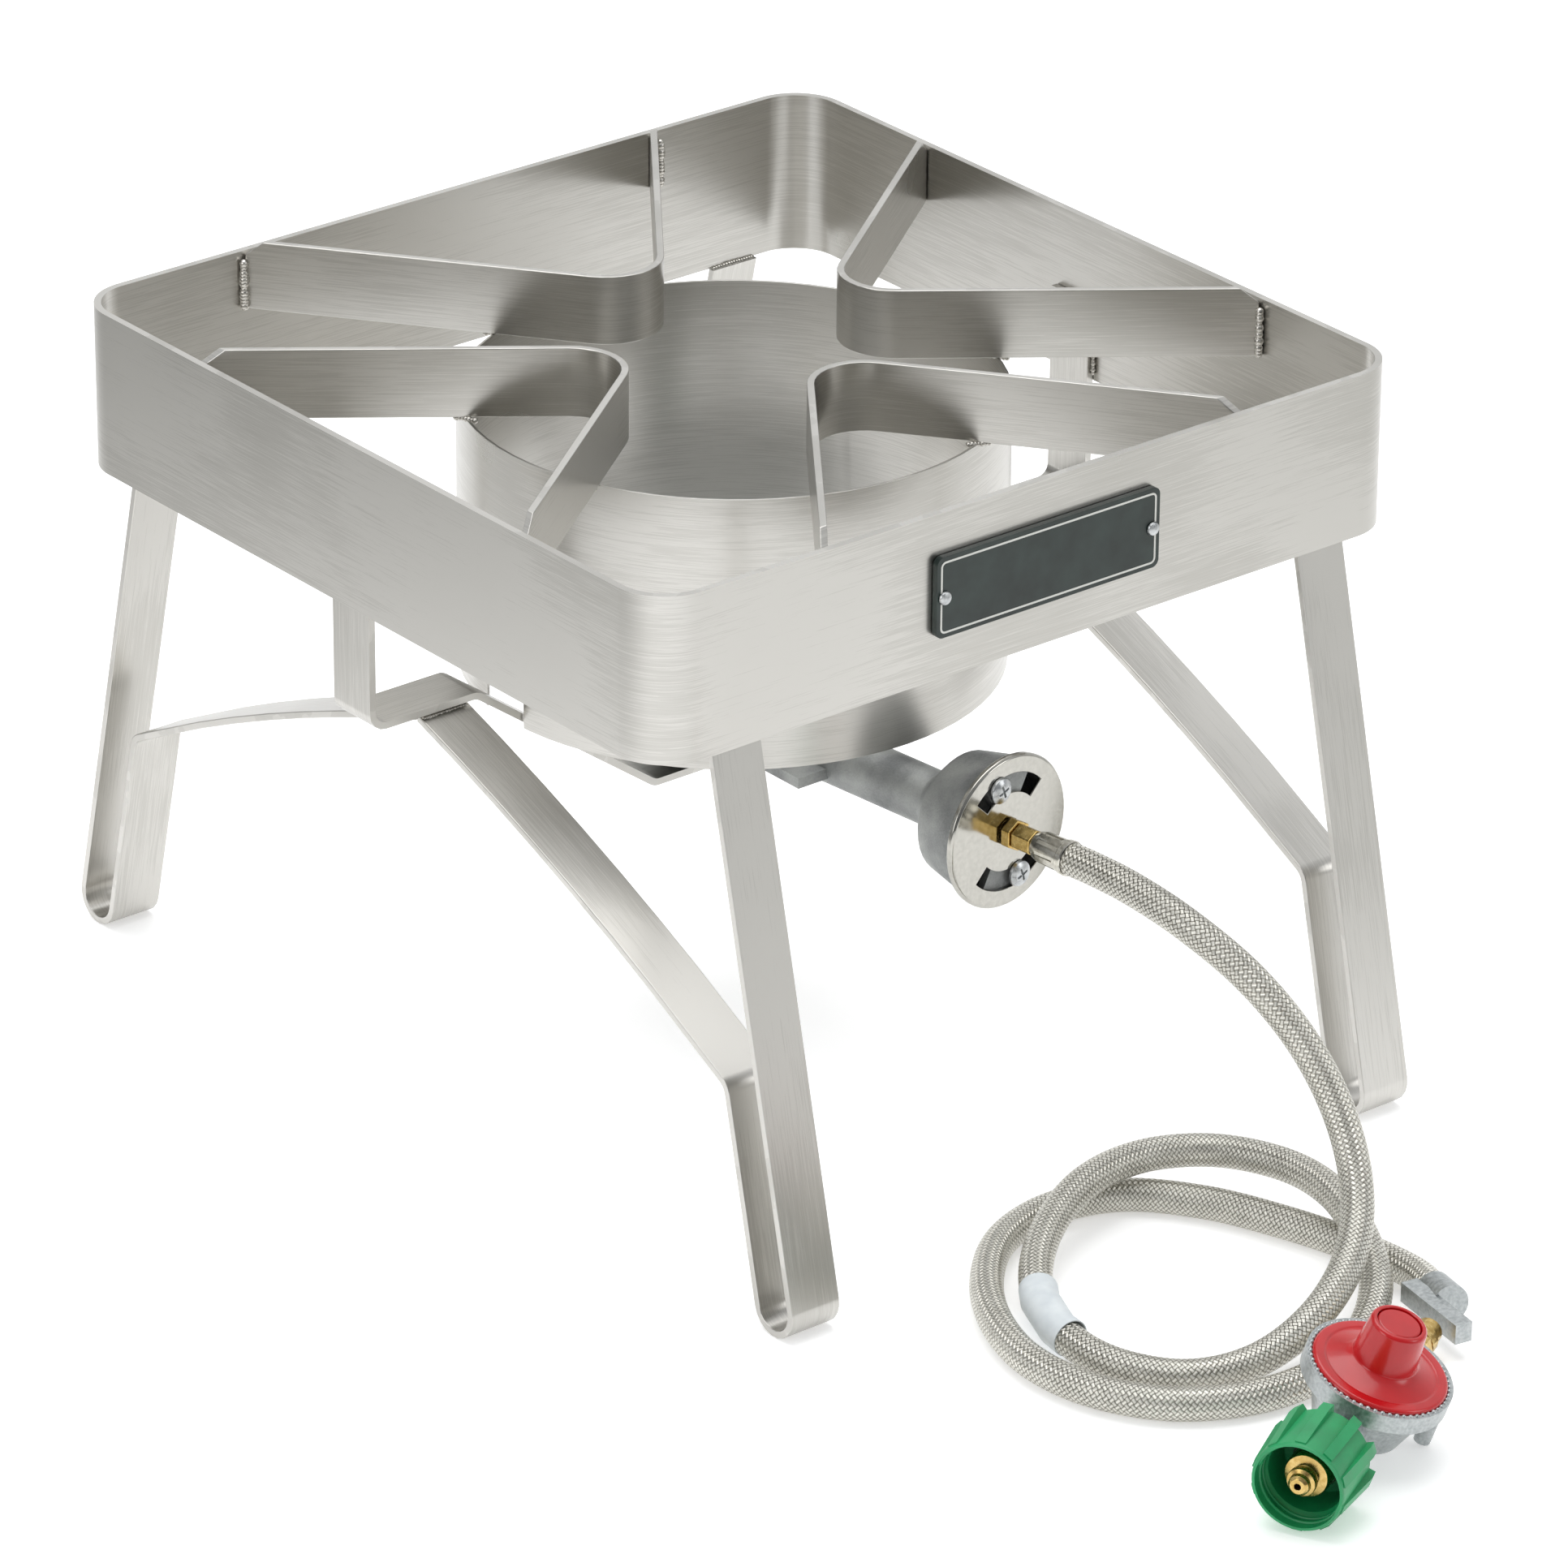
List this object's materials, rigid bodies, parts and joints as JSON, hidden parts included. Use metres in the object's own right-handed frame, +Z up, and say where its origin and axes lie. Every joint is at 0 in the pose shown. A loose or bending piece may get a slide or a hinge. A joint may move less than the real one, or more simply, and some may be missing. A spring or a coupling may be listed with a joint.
{
  "type": "propane burner stand",
  "caption": "Square flat-bar stand with a hung gas burner in a round windscreen, a braided hose and a pressure regulator.",
  "frame": {"origin": "on the floor under the middle of the square frame", "axes": "+Z up, -Y to the front where the nameplate and the burner's air shutter are, +X to the right seen from the front"},
  "size_m": [0.4064, 0.7707, 0.332],
  "materials": {
    "stainless": "satin brushed stainless sheet and bar",
    "hardware": "plain steel hardware",
    "cast_iron": "rough as-cast grey",
    "bright_plate": "bright plated, nearly polished",
    "zinc": "die-cast zinc, satin",
    "brass": "machined brass",
    "braid": "woven stainless braid",
    "paper": "white coated paper",
    "red_enamel": "gloss red enamel",
    "green_plastic": "moulded green plastic, semi-gloss",
    "dark_rubber": "dark green-black rubber",
    "plate_enamel": "dark green-black enamel with a pale border"
  },
  "bodies": {
    "stand": {"burner_bolt": "hardware", "burner_cap": "cast_iron", "burner_casting": "cast_iron", "burner_hanger_strap": "stainless", "burner_nut": "hardware", "burner_washer": "hardware", "diaphragm_plate": "zinc", "gas_hose": "braid", "hose_elbow_block": "zinc", "hose_ferrule_burner": "bright_plate", "hose_label": "paper", "hose_stem": "brass", "hose_swivel_nut": "brass", "inlet_bushing": "dark_rubber", "inlet_nipple": "brass", "leg_back_left": "stainless", "leg_back_right": "stainless", "leg_front_left": "stainless", "leg_front_right": "stainless", "nameplate": "plate_enamel", "nameplate_rivet_left": "zinc", "nameplate_rivet_right": "zinc", "orifice_spud": "brass", "outlet_fitting": "brass", "pot_tab_back": "stainless", "pot_tab_front": "stainless", "pot_tab_left": "stainless", "pot_tab_right": "stainless", "regulator_body": "zinc", "regulator_bonnet": "red_enamel", "regulator_diaphragm": "dark_rubber", "regulator_plug": "red_enamel", "regulator_spring": "hardware", "shutter_screw_bottom": "zinc", "shutter_screw_top": "zinc", "top_band": "stainless", "windscreen": "stainless"},
    "air_shutter": {"air_shutter": "bright_plate"},
    "coupling_nut": {"coupling_nut": "green_plastic"}
  },
  "joints": [
    {"name": "air_shutter_turn", "type": "hinge", "parent": "stand", "child": "air_shutter", "pos_m": [0, 0.0075, 0.146], "axis": [0.1011, -0.9949, 0], "range_deg": [-24, 56]},
    {"name": "coupling_nut_spin", "type": "hinge", "parent": "stand", "child": "coupling_nut", "pos_m": [-0.041, -0.4628, 0.0225], "axis": [0.891, 0.454, 0], "continuous": true}
  ]
}
